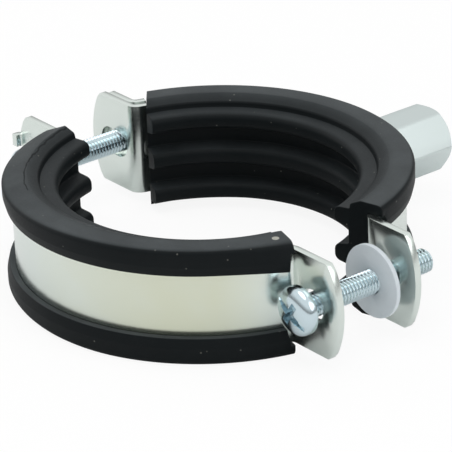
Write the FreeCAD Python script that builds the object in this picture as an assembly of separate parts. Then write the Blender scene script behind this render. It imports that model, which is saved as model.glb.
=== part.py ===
"""Two-piece pipe clamp with a rubber lining, lying with its pipe axis upright.

The origin is the pipe axis at the middle of the strip's width. +Z runs along the pipe, +Y from the front
half to the back half and its connection boss, and +X to the ears with the retaining disc.
All lengths are in millimetres and all angles in degrees.
"""

import FreeCAD
import Part
import math
import os

from FreeCAD import Vector

# Pipe and rubber lining
pipe_diameter = 60.3
pipe_clearance = 0.15
rib_height = 3.3
rib_pitch = 8.17
rib_tip_width = 2.7
rib_root_width = 4.4
rib_tip_rounding = 1.2
rib_root_rounding = 0.5
lining_wall = 4.65
channel_clearance = 0.05
lip_thickness = 1.75
lip_boss_clearance = 0.1
lip_edge_rounding = 0.3
rim_height = 2.2
rim_fall = 1.25
rim_outer_rounding = 1.6
rim_inner_rounding = 0.8
rim_inner_set_back = 2.35
rim_foot_set_back = 0.8
rim_foot_below_channel = 0.05
lining_past_bend = 0.6
lip_end_from_bend = 0.3
front_lip_slant = 0.5
back_lip_slant = 1.9

# Steel strip, its ears and their holes
strip_width = 20.0
strip_thickness = 1.5
ear_gap = 18.0
ear_bend_radius = 1.2
ear_beyond_screw = 4.8
ear_tip_bulge = 2.8
ear_corner_rounding = 0.6
screw_hole_diameter = 6.6
thread_collar_wall = 0.9
thread_collar_height = 1.2
open_slot_width = 5.6
slot_lip_width = 2.6
slot_lip_bend_radius = 0.5
slot_lip_length = 0.6
slot_lip_set_back = 1.3
wide_slot_length = 9.0
wide_slot_width = 6.0

# Thread plate behind the left back ear
plate_bend_radius = 1.0
plate_leg_gap = 1.0
plate_tip_set_back = 1.0
plate_leg_length = 1.43
plate_end_gap = 0.3
plate_tongue_width = 9.6
plate_tongue_length = 4.0
clinch_width = 2.9
clinch_height = 4.7
clinch_clearance = 0.05
clinch_recess = 0.6
clinch_from_bend = 1.7

# Connection boss
boss_across_flats = 13.0
boss_length = 21.2
boss_chamfer_length = 1.4
boss_end_diameter = 11.6
mouth_bore_diameter = 8.5
mouth_bore_depth = 9.0
inner_bore_diameter = 6.8
inner_bore_depth = 8.0
bore_mouth_chamfer = 0.7

# Screws
thread_diameter = 4.9
thread_clearance = 0.05
screw_length = 31.7
screw_tip_chamfer = 0.5
head_diameter = 10.0
head_height = 3.2
head_edge_rounding = 1.5
head_lift = 2.6
head_side_clearance = 0.1
slot_width = 1.2
slot_depth = 1.3
cross_width = 1.5
cross_span = 5.0
cross_depth = 2.0
right_recess_turn = -33.5
left_recess_turn = 20.0

# Retaining disc
disc_diameter = 15.0
disc_thickness = 1.0
disc_gap = 3.7
disc_edge_rounding = 0.2

# Ring radii, from the pipe outwards
rib_tip_radius = pipe_diameter / 2 + pipe_clearance
wall_inner_radius = rib_tip_radius + rib_height
channel_floor_radius = wall_inner_radius + lining_wall
band_inner_radius = channel_floor_radius + channel_clearance
band_outer_radius = band_inner_radius + strip_thickness
lip_inner_radius = band_outer_radius + channel_clearance
lip_outer_radius = lip_inner_radius + lip_thickness

# Heights above the middle of the strip
strip_half = strip_width / 2
channel_half = strip_half + channel_clearance
lip_edge_height = boss_across_flats / 2 + lip_boss_clearance
rim_top_height = channel_half + rim_height
rim_outer_height = rim_top_height - rim_fall
rim_foot_height = channel_half - rim_foot_below_channel

# Ears and screws
ear_face = ear_gap / 2
ear_back = ear_face + strip_thickness
ear_bend_height = ear_back + ear_bend_radius
ear_flat_start = math.sqrt((band_outer_radius + ear_bend_radius) ** 2 - ear_bend_height ** 2)
thread_radius = thread_diameter / 2
tapped_radius = thread_radius + thread_clearance
head_radius = head_diameter / 2
screw_x = ear_flat_start + head_radius + head_side_clearance
ear_corner_x = screw_x + ear_beyond_screw
ear_tip_x = ear_corner_x + ear_tip_bulge
head_seat = -(ear_back + head_lift)
head_face = head_seat - head_height
screw_tip = head_seat + screw_length

# Thread plate
plate_back = ear_back + strip_thickness
plate_inner_radius = band_outer_radius + plate_leg_gap
plate_outer_radius = plate_inner_radius + strip_thickness
plate_bend_height = plate_back + plate_bend_radius
plate_bend_angle = math.degrees(math.asin(plate_bend_height / (plate_outer_radius + plate_bend_radius)))
plate_end_angle = plate_bend_angle + math.degrees(plate_leg_length / plate_inner_radius)

# Ends of the linings and place of the clinch, measured round the ring from the ears' bends
bend_angle = math.degrees(math.atan2(ear_bend_height, ear_flat_start))
lining_end_angle = bend_angle - math.degrees(lining_past_bend / band_inner_radius)
cut_back_angle = plate_end_angle + math.degrees(plate_end_gap / plate_inner_radius)
clinch_angle = 180 - bend_angle - math.degrees(clinch_from_bend / band_inner_radius)

ORIGIN = Vector(0, 0, 0)
PIPE_AXIS = Vector(0, 0, 1)
SCREW_AXIS = Vector(0, 1, 0)
SAME_POINT = 1e-6


def corner_arc(before, corner, after, rounding):
    """Start, middle and end of the arc that rounds one corner of an outline."""
    to_before = (before - corner).normalize()
    to_after = (after - corner).normalize()
    half_angle = to_before.getAngle(to_after) / 2
    inward = (to_before + to_after).normalize()
    reach = rounding / math.tan(half_angle)
    centre = corner + inward * (rounding / math.sin(half_angle))
    return corner + to_before * reach, centre - inward * rounding, corner + to_after * reach


def rounded_face(corners):
    """Flat face from its corners, each a point and the radius that rounds it."""
    arcs = []
    for number, (corner, rounding) in enumerate(corners):
        before = corners[number - 1][0]
        after = corners[(number + 1) % len(corners)][0]
        arcs.append(corner_arc(before, corner, after, rounding))
    edges = []
    for number, (start, middle, end) in enumerate(arcs):
        if start.distanceToPoint(end) > SAME_POINT:
            edges.append(Part.Arc(start, middle, end).toShape())
        edges.append(Part.makeLine(end, arcs[(number + 1) % len(arcs)][0]))
    return Part.Face(Part.Wire(edges))


def cylinder_y(radius, start, end, x=0.0):
    """Cylinder along Y at height 0."""
    return Part.makeCylinder(radius, end - start, Vector(x, start, 0), SCREW_AXIS)


def slot_prism(length, width, start, end, x):
    """Round-ended slot along X, cut through in Y."""
    reach = (length - width) / 2
    middle = Part.makeBox(2 * reach, end - start, width, Vector(x - reach, start, -width / 2))
    ends = [cylinder_y(width / 2, start, end, x + side * reach) for side in (-1, 1)]
    return middle.multiFuse(ends).removeSplitter()


def bend_centre(outer_radius, ear_back_face, inside_radius):
    """Centre of the bend between a ring and the flat ear that leaves it on the right."""
    height = ear_back_face + inside_radius
    return Vector(math.sqrt((outer_radius + inside_radius) ** 2 - height ** 2), height, 0)


def bend_arc(centre, radius):
    """Ear end, middle and ring end of one face of a bend."""
    to_ear = Vector(0, -1, 0)
    to_ring = Vector(centre).normalize() * -1
    to_middle = (to_ear + to_ring).normalize()
    return centre + to_ear * radius, centre + to_middle * radius, centre + to_ring * radius


def mirrored(point):
    """The same point on the left side."""
    return Vector(-point.x, point.y, point.z)


def strip_profile():
    """Bent strip seen along the pipe: right ear, half ring and left ear."""
    centre = bend_centre(band_outer_radius, ear_back, ear_bend_radius)
    edges = []
    ear_ends = []
    for radius, ring_radius in ((ear_bend_radius, band_outer_radius),
                                (ear_bend_radius + strip_thickness, band_inner_radius)):
        ear_end, middle, ring_end = bend_arc(centre, radius)
        tip = Vector(ear_tip_x, ear_end.y, 0)
        ear_ends.append(tip)
        edges.append(Part.makeLine(tip, ear_end))
        edges.append(Part.Arc(ear_end, middle, ring_end).toShape())
        edges.append(Part.Arc(ring_end, Vector(0, ring_radius, 0), mirrored(ring_end)).toShape())
        edges.append(Part.Arc(mirrored(ring_end), mirrored(middle), mirrored(ear_end)).toShape())
        edges.append(Part.makeLine(mirrored(ear_end), mirrored(tip)))
    edges.append(Part.makeLine(ear_ends[0], ear_ends[1]))
    edges.append(Part.makeLine(mirrored(ear_ends[0]), mirrored(ear_ends[1])))
    return Part.Face(Part.Wire(Part.sortEdges(edges)[0]))


def ear_outline(set_back=0.0):
    """Prism along Y that gives the strip its width and its rounded ear tips."""
    corner_x = ear_corner_x - set_back
    tip_x = ear_tip_x - set_back
    right_top = Vector(corner_x, 0, strip_half)
    right_bottom = Vector(corner_x, 0, -strip_half)
    edges = [
        Part.makeLine(mirrored(right_top), right_top),
        Part.Arc(right_top, Vector(tip_x, 0, 0), right_bottom).toShape(),
        Part.makeLine(right_bottom, mirrored(right_bottom)),
        Part.Arc(mirrored(right_bottom), Vector(-tip_x, 0, 0), mirrored(right_top)).toShape(),
    ]
    prism = Part.Face(Part.Wire(edges)).extrude(SCREW_AXIS * lip_outer_radius)
    corner_edges = [edge for edge in prism.Edges if abs(edge.Length - lip_outer_radius) < SAME_POINT]
    return prism.makeFillet(ear_corner_rounding, corner_edges)


def bent_strip():
    """Half clamp band without its holes, as the back half."""
    profile = strip_profile()
    profile.translate(PIPE_AXIS * -strip_half)
    return profile.extrude(PIPE_AXIS * strip_width).common(ear_outline())


def to_front(shape):
    """The same shape mirrored to the front half."""
    return shape.mirror(ORIGIN, SCREW_AXIS)


def thread_collar(face, side):
    """Collar pulled out of the back of a tapped ear."""
    outer_radius = tapped_radius + thread_collar_wall
    return cylinder_y(outer_radius, face, face + thread_collar_height, side * screw_x)


def tapped_hole(side):
    """Hole through a tapped ear and its collar."""
    return cylinder_y(tapped_radius, 0, plate_back + 2 * thread_collar_height, side * screw_x)


def clinch_prism(width, height, inner_radius, outer_radius):
    """Upright oval along the radius at the left end of the back half ring."""
    straight = (height - width) / 2
    edges = [
        Part.makeLine(Vector(inner_radius, -width / 2, -straight), Vector(inner_radius, -width / 2, straight)),
        Part.Arc(Vector(inner_radius, -width / 2, straight), Vector(inner_radius, 0, height / 2),
                 Vector(inner_radius, width / 2, straight)).toShape(),
        Part.makeLine(Vector(inner_radius, width / 2, straight), Vector(inner_radius, width / 2, -straight)),
        Part.Arc(Vector(inner_radius, width / 2, -straight), Vector(inner_radius, 0, -height / 2),
                 Vector(inner_radius, -width / 2, -straight)).toShape(),
    ]
    oval = Part.Face(Part.Wire(edges)).extrude(Vector(outer_radius - inner_radius, 0, 0))
    oval.rotate(ORIGIN, PIPE_AXIS, clinch_angle)
    return oval


def band_back():
    """Back strip: tapped right ear, wide slot in the left ear, oval slot for the clinch."""
    band = bent_strip().fuse(thread_collar(ear_back, 1)).removeSplitter()
    band = band.cut(tapped_hole(1))
    band = band.cut(slot_prism(wide_slot_length, wide_slot_width, 0, plate_back, -screw_x))
    return band.cut(clinch_prism(clinch_width, clinch_height, wall_inner_radius, plate_inner_radius))


def slot_lips():
    """Corners beside the open slot's mouth, bent away from the back half."""
    centre = Vector(ear_tip_x - slot_lip_set_back, ear_back + slot_lip_bend_radius, 0)
    inner = slot_lip_bend_radius
    outer = inner + strip_thickness
    end = centre.y + slot_lip_length
    diagonal = Vector(1, -1, 0).normalize()
    edges = [
        Part.Arc(centre + Vector(0, -inner, 0), centre + diagonal * inner, centre + Vector(inner, 0, 0)).toShape(),
        Part.makeLine(centre + Vector(inner, 0, 0), Vector(centre.x + inner, end, 0)),
        Part.makeLine(Vector(centre.x + inner, end, 0), Vector(centre.x + outer, end, 0)),
        Part.makeLine(Vector(centre.x + outer, end, 0), centre + Vector(outer, 0, 0)),
        Part.Arc(centre + Vector(outer, 0, 0), centre + diagonal * outer, centre + Vector(0, -outer, 0)).toShape(),
        Part.makeLine(centre + Vector(0, -outer, 0), centre + Vector(0, -inner, 0)),
    ]
    profile = Part.Face(Part.Wire(edges))
    lips = []
    for bottom in (open_slot_width / 2, -open_slot_width / 2 - slot_lip_width):
        lip = profile.extrude(PIPE_AXIS * slot_lip_width)
        lip.translate(PIPE_AXIS * bottom)
        lips.append(lip)
    return lips


def band_front():
    """Front strip: closed hole in the right ear, open slot with bent lips in the left ear."""
    band = bent_strip().cut(cylinder_y(screw_hole_diameter / 2, 0, plate_back, screw_x))
    mouth_x = ear_tip_x - slot_lip_set_back
    mouth_height = open_slot_width + 2 * slot_lip_width
    mouth = Part.makeBox(ear_tip_x, plate_back, mouth_height, Vector(mouth_x, 0, -mouth_height / 2))
    slot = Part.makeBox(ear_tip_x, plate_back, open_slot_width, Vector(screw_x, 0, -open_slot_width / 2))
    slot = slot.fuse(cylinder_y(open_slot_width / 2, 0, plate_back, screw_x))
    left_ear = [mouth, slot]
    for cutter in left_ear:
        band = band.cut(cutter.mirror(ORIGIN, Vector(1, 0, 0)))
    lips = [lip.mirror(ORIGIN, Vector(1, 0, 0)) for lip in slot_lips()]
    return to_front(band.multiFuse(lips).removeSplitter())


def thread_plate():
    """Second leaf behind the left back ear, with a short leg along the band and a clinched oval stud."""
    centre = bend_centre(plate_outer_radius, plate_back, plate_bend_radius)
    end_direction = Vector(math.cos(math.radians(plate_end_angle)), math.sin(math.radians(plate_end_angle)), 0)
    middle_angle = (math.atan2(centre.y, centre.x) + math.radians(plate_end_angle)) / 2
    middle_direction = Vector(math.cos(middle_angle), math.sin(middle_angle), 0)
    edges = []
    ends = []
    for radius, ring_radius in ((plate_bend_radius, plate_outer_radius),
                                (plate_bend_radius + strip_thickness, plate_inner_radius)):
        ear_end, middle, ring_end = bend_arc(centre, radius)
        tip = Vector(ear_tip_x, ear_end.y, 0)
        end = end_direction * ring_radius
        edges.append(Part.makeLine(tip, ear_end))
        edges.append(Part.Arc(ear_end, middle, ring_end).toShape())
        edges.append(Part.Arc(ring_end, middle_direction * ring_radius, end).toShape())
        ends.append((tip, end))
    edges.append(Part.makeLine(ends[0][0], ends[1][0]))
    edges.append(Part.makeLine(ends[0][1], ends[1][1]))
    profile = Part.Face(Part.Wire(Part.sortEdges(edges)[0]))
    profile.translate(PIPE_AXIS * -strip_half)
    leaf = profile.extrude(PIPE_AXIS * strip_width).common(ear_outline(plate_tip_set_back))
    tongue_angle = math.degrees(plate_tongue_length / plate_inner_radius)
    tongue = ring_sector(plate_inner_radius, plate_outer_radius, plate_tongue_width,
                         plate_end_angle, plate_end_angle + tongue_angle)
    plate = leaf.fuse(tongue).removeSplitter().mirror(ORIGIN, Vector(1, 0, 0))
    stud = clinch_prism(clinch_width - 2 * clinch_clearance, clinch_height - 2 * clinch_clearance,
                        band_inner_radius + clinch_recess, plate_inner_radius + strip_thickness / 2)
    plate = plate.multiFuse([stud, thread_collar(plate_back, -1)]).removeSplitter()
    return plate.cut(tapped_hole(-1))


def ring_sector(inner_radius, outer_radius, height, start_angle, end_angle):
    """Piece of a ring of rectangular section, centred on height 0."""
    corners = [
        Vector(inner_radius, 0, -height / 2),
        Vector(outer_radius, 0, -height / 2),
        Vector(outer_radius, 0, height / 2),
        Vector(inner_radius, 0, height / 2),
    ]
    section = Part.Face(Part.makePolygon(corners + [corners[0]]))
    section.rotate(ORIGIN, PIPE_AXIS, start_angle)
    return section.revolve(ORIGIN, PIPE_AXIS, end_angle - start_angle)


def connection_boss():
    """Hexagonal connection nut, cut to the band's curve, with a stepped blind bore."""
    corner_radius = boss_across_flats / 2 / math.cos(math.pi / 6)
    end = band_outer_radius + boss_length
    corners = []
    for number in range(6):
        angle = number * math.pi / 3
        corners.append(Vector(corner_radius * math.cos(angle), 0, corner_radius * math.sin(angle)))
    hexagon = Part.Face(Part.makePolygon(corners + [corners[0]]))
    boss = hexagon.extrude(SCREW_AXIS * end)
    outline = [
        Vector(0, 0, 0),
        Vector(corner_radius, 0, 0),
        Vector(corner_radius, end - boss_chamfer_length, 0),
        Vector(boss_end_diameter / 2, end, 0),
        Vector(0, end, 0),
    ]
    turned = Part.Face(Part.makePolygon(outline + [outline[0]])).revolve(ORIGIN, SCREW_AXIS, 360)
    boss = boss.common(turned)
    boss = boss.cut(Part.makeCylinder(band_outer_radius, strip_width, Vector(0, 0, -strip_half), PIPE_AXIS))
    mouth_radius = mouth_bore_diameter / 2
    inner_radius = inner_bore_diameter / 2
    step = end - mouth_bore_depth
    bore = cylinder_y(inner_radius, step - inner_bore_depth, step)
    mouth = cylinder_y(mouth_radius, step, end)
    chamfer = Part.makeCone(mouth_radius, mouth_radius + bore_mouth_chamfer, bore_mouth_chamfer,
                            Vector(0, end - bore_mouth_chamfer, 0), SCREW_AXIS)
    return boss.cut(bore.multiFuse([mouth, chamfer]))


def rib_corners(centre_height):
    """Corners of one rib from its upper root round its tip to its lower root."""
    return [
        (Vector(wall_inner_radius, 0, centre_height + rib_root_width / 2), rib_root_rounding),
        (Vector(rib_tip_radius, 0, centre_height + rib_tip_width / 2), rib_tip_rounding),
        (Vector(rib_tip_radius, 0, centre_height - rib_tip_width / 2), rib_tip_rounding),
        (Vector(wall_inner_radius, 0, centre_height - rib_root_width / 2), rib_root_rounding),
    ]


def lining_section():
    """Rubber profile: three ribs inside, a channel round the strip, a rim and a lip at each edge."""
    top_rib = rib_corners(rib_pitch)
    upper = [
        (Vector(channel_floor_radius, 0, channel_half), 0),
        (Vector(lip_inner_radius, 0, channel_half), 0),
        (Vector(lip_inner_radius, 0, lip_edge_height), 0),
        (Vector(lip_outer_radius, 0, lip_edge_height), lip_edge_rounding),
        (Vector(lip_outer_radius, 0, rim_outer_height), rim_outer_rounding),
        (Vector(wall_inner_radius + rim_inner_set_back, 0, rim_top_height), rim_inner_rounding),
        (Vector(wall_inner_radius + rim_foot_set_back, 0, rim_foot_height), 0),
    ] + top_rib[1:]
    lower = [(Vector(point.x, 0, -point.z), rounding) for point, rounding in reversed(upper)]
    return rounded_face(upper + rib_corners(0) + lower)


def polar(radius, angle):
    """Point at height 0 from its radius and its angle round the pipe."""
    return Vector(radius * math.cos(math.radians(angle)), radius * math.sin(math.radians(angle)), 0)


def lip_end_cut(slant):
    """Cutter that ends both lips before the right ear's bend, the further back the nearer to their edges."""
    beyond = lip_end_from_bend + slant
    outline = [
        Vector(band_outer_radius, -lip_outer_radius, -channel_half),
        Vector(band_outer_radius, lip_end_from_bend, -channel_half),
        Vector(band_outer_radius, beyond, -lip_edge_height),
        Vector(band_outer_radius, beyond, lip_edge_height),
        Vector(band_outer_radius, lip_end_from_bend, channel_half),
        Vector(band_outer_radius, -lip_outer_radius, channel_half),
    ]
    cutter = Part.Face(Part.makePolygon(outline + [outline[0]])).extrude(Vector(2 * lip_thickness, 0, 0))
    cutter.rotate(ORIGIN, PIPE_AXIS, bend_angle)
    return cutter


def cut_back():
    """Cutter that takes the left end of the back lining back from the thread plate's leg."""
    inner = polar(wall_inner_radius, lining_end_angle)
    outer = inner + (polar(plate_inner_radius, cut_back_angle) - inner) * 2
    outline = [inner, outer, Vector(outer.x, 0, 0), Vector(inner.x, 0, 0)]
    face = Part.Face(Part.makePolygon(outline + [inner]))
    face.translate(PIPE_AXIS * -rim_top_height)
    return face.extrude(PIPE_AXIS * 2 * rim_top_height).mirror(ORIGIN, Vector(1, 0, 0))


def lining():
    """Rubber lining of the back half, cut square at both ends and with whole lips."""
    section = lining_section()
    section.rotate(ORIGIN, PIPE_AXIS, lining_end_angle)
    return section.revolve(ORIGIN, PIPE_AXIS, 180 - 2 * lining_end_angle)


def liner_back():
    """Back lining: its lips end slantwise at the right ear, its left end is cut back at the thread plate."""
    return lining().cut(lip_end_cut(back_lip_slant)).cut(cut_back())


def liner_front():
    """Front lining, whose lips end just before both ears."""
    right = lip_end_cut(front_lip_slant)
    return to_front(lining().cut(right).cut(right.mirror(ORIGIN, Vector(1, 0, 0))))


def screw(side, recess_turn):
    """Pan head machine screw with a cross recess and a slot."""
    top = Vector(0, head_face, 0)
    outline = [
        (Vector(0, head_face, 0), 0),
        (Vector(head_radius, head_face, 0), head_edge_rounding),
        (Vector(head_radius, head_seat, 0), 0),
        (Vector(thread_radius, head_seat, 0), 0),
        (Vector(thread_radius, screw_tip - screw_tip_chamfer, 0), 0),
        (Vector(thread_radius - screw_tip_chamfer, screw_tip, 0), 0),
        (Vector(0, screw_tip, 0), 0),
    ]
    body = rounded_face(outline).revolve(ORIGIN, SCREW_AXIS, 360)
    slot = Part.makeBox(head_diameter, slot_depth, slot_width,
                        top - Vector(head_radius, 0, slot_width / 2))
    recess = [slot]
    for quarter in (0, 90):
        arm = Part.makeBox(cross_span, cross_depth, cross_width,
                           top - Vector(cross_span / 2, 0, cross_width / 2))
        arm.rotate(top, SCREW_AXIS, quarter)
        recess.append(arm)
    for cutter in recess:
        cutter.rotate(top, SCREW_AXIS, -recess_turn)
        body = body.cut(cutter)
    body.translate(Vector(side * screw_x, 0, 0))
    return body


def retaining_disc():
    """Thin plastic disc that the right screw's thread carries."""
    back = ear_face - disc_gap
    front = back - disc_thickness
    disc = cylinder_y(disc_diameter / 2, front, back)
    rims = [edge for edge in disc.Edges if edge.Closed]
    disc = disc.makeFillet(disc_edge_rounding, rims).cut(cylinder_y(tapped_radius, front, back))
    disc.translate(Vector(screw_x, 0, 0))
    return disc


nodes = {
    "band_back": band_back(),
    "thread_plate": thread_plate(),
    "connection_boss": connection_boss(),
    "liner_back": liner_back(),
    "band_front": band_front(),
    "liner_front": liner_front(),
    "screw_right": screw(1, right_recess_turn),
    "screw_left": screw(-1, left_recess_turn),
    "retaining_disc": retaining_disc(),
}

os.makedirs("parts", exist_ok=True)
for name, shape in nodes.items():
    shape.exportStep(f"parts/{name}.step")
    box = shape.BoundBox
    print(f"{name}: {len(shape.Solids)} solid, {shape.Volume:.1f} mm3, valid {shape.isValid()}, "
          f"X {box.XMin:.1f} to {box.XMax:.1f}, Y {box.YMin:.1f} to {box.YMax:.1f}, "
          f"Z {box.ZMin:.1f} to {box.ZMax:.1f}")
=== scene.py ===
"""Looks of a rubber lined pipe clamp, piece by piece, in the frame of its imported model.

Lengths are written in millimetres and turned to metres by MM. The origin is the pipe axis at the middle of
the strip's width, +Z runs along the pipe and +Y towards the connection boss.
"""

import math

import bmesh
import bpy
from mathutils import Matrix, Vector


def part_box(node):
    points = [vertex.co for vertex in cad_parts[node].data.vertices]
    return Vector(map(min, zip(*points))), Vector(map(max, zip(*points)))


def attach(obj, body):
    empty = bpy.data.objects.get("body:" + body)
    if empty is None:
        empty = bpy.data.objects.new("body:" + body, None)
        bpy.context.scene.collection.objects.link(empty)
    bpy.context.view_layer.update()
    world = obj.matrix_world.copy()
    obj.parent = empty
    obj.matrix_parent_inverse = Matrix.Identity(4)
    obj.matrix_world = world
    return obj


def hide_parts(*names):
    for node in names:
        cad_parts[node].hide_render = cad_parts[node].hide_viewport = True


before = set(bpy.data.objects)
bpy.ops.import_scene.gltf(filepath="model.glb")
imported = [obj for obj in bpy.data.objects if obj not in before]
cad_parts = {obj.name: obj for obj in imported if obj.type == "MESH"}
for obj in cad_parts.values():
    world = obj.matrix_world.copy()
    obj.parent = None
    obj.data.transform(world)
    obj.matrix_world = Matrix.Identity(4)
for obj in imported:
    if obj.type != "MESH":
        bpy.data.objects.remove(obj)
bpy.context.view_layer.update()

MM = 0.001


# Studio
# White sweep of paper that the clamp lies on, lit by a large soft lamp overhead and two from the sides,
# as in a catalogue photo. The camera stands close, in front of the right ears, and looks down on the ring.
PAPER_WHITE = "#FFFFFF"
FLOOR_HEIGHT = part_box("liner_back")[0].z
FLOOR_SIZE = 6000 * MM
SHADOW_SHARE = 0.10
CAMERA_AZIMUTH = 52.5
CAMERA_ELEVATION = 24.85
CAMERA_ROLL = -2.39
CAMERA_DISTANCE = 593.66 * MM
IMAGE_WIDTH = 452
FOCAL_PIXELS = 2928.55
AXIS_COLUMN = 210.02
AXIS_ROW = 217.12
SENSOR_WIDTH = 36.0
LAMPS = (
    ("lamp_top", (60, -80, 620), 500, 1.2),
    ("lamp_left", (-620, -260, 330), 420, 0.8),
    ("lamp_right", (560, 220, 300), 420, 0.6),
)
WORLD_LEVEL = 0.62
HORIZON = (0.0, 0.45)
HORIZON_LEVEL = 0.3


def linear(hex_colour):
    """Linear colour with alpha from an sRGB hex value."""
    channels = [int(hex_colour[start:start + 2], 16) / 255 for start in (1, 3, 5)]
    return [c / 12.92 if c <= 0.04045 else ((c + 0.055) / 1.055) ** 2.4 for c in channels] + [1.0]


def add_node(tree, kind, settings=None, inputs=None):
    """One node with its settings, its values and its links: an input given as a socket is linked."""
    made = tree.nodes.new(kind)
    for name, value in (settings or {}).items():
        setattr(made, name, value)
    for name, value in (inputs or {}).items():
        if isinstance(value, bpy.types.NodeSocket):
            tree.links.new(value, made.inputs[name])
        else:
            made.inputs[name].default_value = value
    return made


def new_material(name):
    """Empty node material and its tree."""
    material = bpy.data.materials.new(name)
    material.use_nodes = True
    material.node_tree.nodes.clear()
    return material, material.node_tree


def paper():
    """White paper: the camera sees it white, with a faint shadow."""
    material, tree = new_material("white_paper")
    path = add_node(tree, "ShaderNodeLightPath")
    share = add_node(tree, "ShaderNodeMath", {"operation": "MULTIPLY"}, {
        0: path.outputs["Is Camera Ray"], 1: 1 - SHADOW_SHARE})
    lit = add_node(tree, "ShaderNodeBsdfDiffuse", inputs={"Color": linear(PAPER_WHITE)})
    white = add_node(tree, "ShaderNodeEmission", inputs={"Color": linear(PAPER_WHITE), "Strength": 1.0})
    mixed = add_node(tree, "ShaderNodeMixShader", inputs={
        0: share.outputs[0], 1: lit.outputs[0], 2: white.outputs[0]})
    add_node(tree, "ShaderNodeOutputMaterial", inputs={"Surface": mixed.outputs[0]})
    return material


def link(piece):
    """Adds an object to the scene."""
    bpy.context.scene.collection.objects.link(piece)
    return piece


floor_mesh = bpy.data.meshes.new("paper_floor")
half_floor = FLOOR_SIZE / 2
floor_mesh.from_pydata([(-half_floor, -half_floor, FLOOR_HEIGHT), (half_floor, -half_floor, FLOOR_HEIGHT),
                        (half_floor, half_floor, FLOOR_HEIGHT), (-half_floor, half_floor, FLOOR_HEIGHT)],
                       [], [(0, 1, 2, 3)])
floor = link(bpy.data.objects.new("paper_floor", floor_mesh))
floor_mesh.materials.append(paper())

for lamp_name, place, size, power in LAMPS:
    lamp_data = bpy.data.lights.new(lamp_name, "AREA")
    lamp_data.shape = "DISK"
    lamp_data.size = size * MM
    lamp_data.energy = power
    lamp = link(bpy.data.objects.new(lamp_name, lamp_data))
    lamp.location = Vector(place) * MM
    lamp.rotation_euler = (-lamp.location).to_track_quat("-Z", "Y").to_euler()

world = bpy.data.worlds.new("studio")
bpy.context.scene.world = world
world.use_nodes = True
world_tree = world.node_tree
world_tree.nodes.clear()
world_path = add_node(world_tree, "ShaderNodeLightPath")
world_seen = add_node(world_tree, "ShaderNodeMath", {"operation": "ADD", "use_clamp": True}, {
    0: world_path.outputs["Is Camera Ray"], 1: world_path.outputs["Is Glossy Ray"]})
world_seen = add_node(world_tree, "ShaderNodeMath", {"operation": "ADD", "use_clamp": True}, {
    0: world_seen.outputs[0], 1: world_path.outputs["Is Transmission Ray"]})
world_place = add_node(world_tree, "ShaderNodeTexCoord")
world_parts = add_node(world_tree, "ShaderNodeSeparateXYZ", inputs={0: world_place.outputs["Generated"]})
world_sky = add_node(world_tree, "ShaderNodeMapRange", {"interpolation_type": "SMOOTHSTEP"}, {
    "Value": world_parts.outputs["Z"], "From Min": HORIZON[0], "From Max": HORIZON[1],
    "To Min": HORIZON_LEVEL, "To Max": 1.0})
world_sky = add_node(world_tree, "ShaderNodeMath", {"operation": "MAXIMUM"}, {
    0: world_sky.outputs[0], 1: world_path.outputs["Is Camera Ray"]})
world_level = add_node(world_tree, "ShaderNodeMapRange", inputs={
    "Value": world_seen.outputs[0], "To Min": WORLD_LEVEL, "To Max": world_sky.outputs[0]})
world_light = add_node(world_tree, "ShaderNodeBackground", inputs={
    "Color": linear(PAPER_WHITE), "Strength": world_level.outputs[0]})
add_node(world_tree, "ShaderNodeOutputWorld", inputs={"Surface": world_light.outputs[0]})

azimuth = math.radians(CAMERA_AZIMUTH)
elevation = math.radians(CAMERA_ELEVATION)
roll = math.radians(CAMERA_ROLL)
towards_camera = Vector((math.sin(azimuth) * math.cos(elevation), -math.cos(azimuth) * math.cos(elevation),
                         math.sin(elevation)))
level_right = Vector((math.cos(azimuth), math.sin(azimuth), 0))
level_up = towards_camera.cross(level_right)
camera_right = math.cos(roll) * level_right + math.sin(roll) * level_up
camera_up = math.cos(roll) * level_up - math.sin(roll) * level_right
camera_data = bpy.data.cameras.new("camera")
camera_data.sensor_width = SENSOR_WIDTH
camera_data.lens = FOCAL_PIXELS / IMAGE_WIDTH * SENSOR_WIDTH
camera_data.shift_x = (IMAGE_WIDTH / 2 - AXIS_COLUMN) / IMAGE_WIDTH
camera_data.shift_y = -(IMAGE_WIDTH / 2 - AXIS_ROW) / IMAGE_WIDTH
camera_data.clip_end = 2 * FLOOR_SIZE
camera = link(bpy.data.objects.new("camera", camera_data))
camera.matrix_world = Matrix.Translation(towards_camera * CAMERA_DISTANCE) @ Matrix(
    (camera_right, camera_up, towards_camera)).transposed().to_4x4()
bpy.context.scene.camera = camera
bpy.context.scene.view_settings.view_transform = "Standard"


# Back half band
# Cold-rolled steel strip, 20 x 1.5 mm, blanked with its ear holes, bent to a half ring with two ears and
# then bright zinc-plated. The right ear has a pulled, tapped collar and the left ear a wide slot.
STRIP_WIDTH = 20.0
STRIP_THICKNESS = 1.5
BAND_OUTER_RADIUS = 39.8
EAR_BACK = 10.5
EAR_BEND_RADIUS = 1.2
EAR_CORNER_X = 49.2
EAR_TIP_X = 52.0
EAR_CORNER_ROUNDING = 0.6
SCREW_X = 44.395
TAPPED_RADIUS = 2.5
COLLAR_RADIUS = 3.4
COLLAR_HEIGHT = 1.2
WIDE_SLOT = (9.0, 6.0)
CLINCH_SIZE = (2.9, 4.7)
CLINCH_ANGLE = 160.85
STRIP_EDGE_ROUNDING = 0.14
COLLAR_ROOT = 0.5
EAR_TIP_INSET = 0.6
EAR_SHOULDER_ANGLE = 35
EAR_SHOULDER_STEPS = 4
EAR_CUT_DEPTH = 20.0
EAR_TRIM_MARGIN = 2.0
CLINCH_CUT = (34.0, 40.5)
RING_STEPS = 128
BEND_STEPS = 10
ROUND_STEPS = 56
SHARP_ANGLE = 32
STEEL_STRAW = "#CDD1BE"
STEEL_NEUTRAL = "#D5DDD8"
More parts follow.
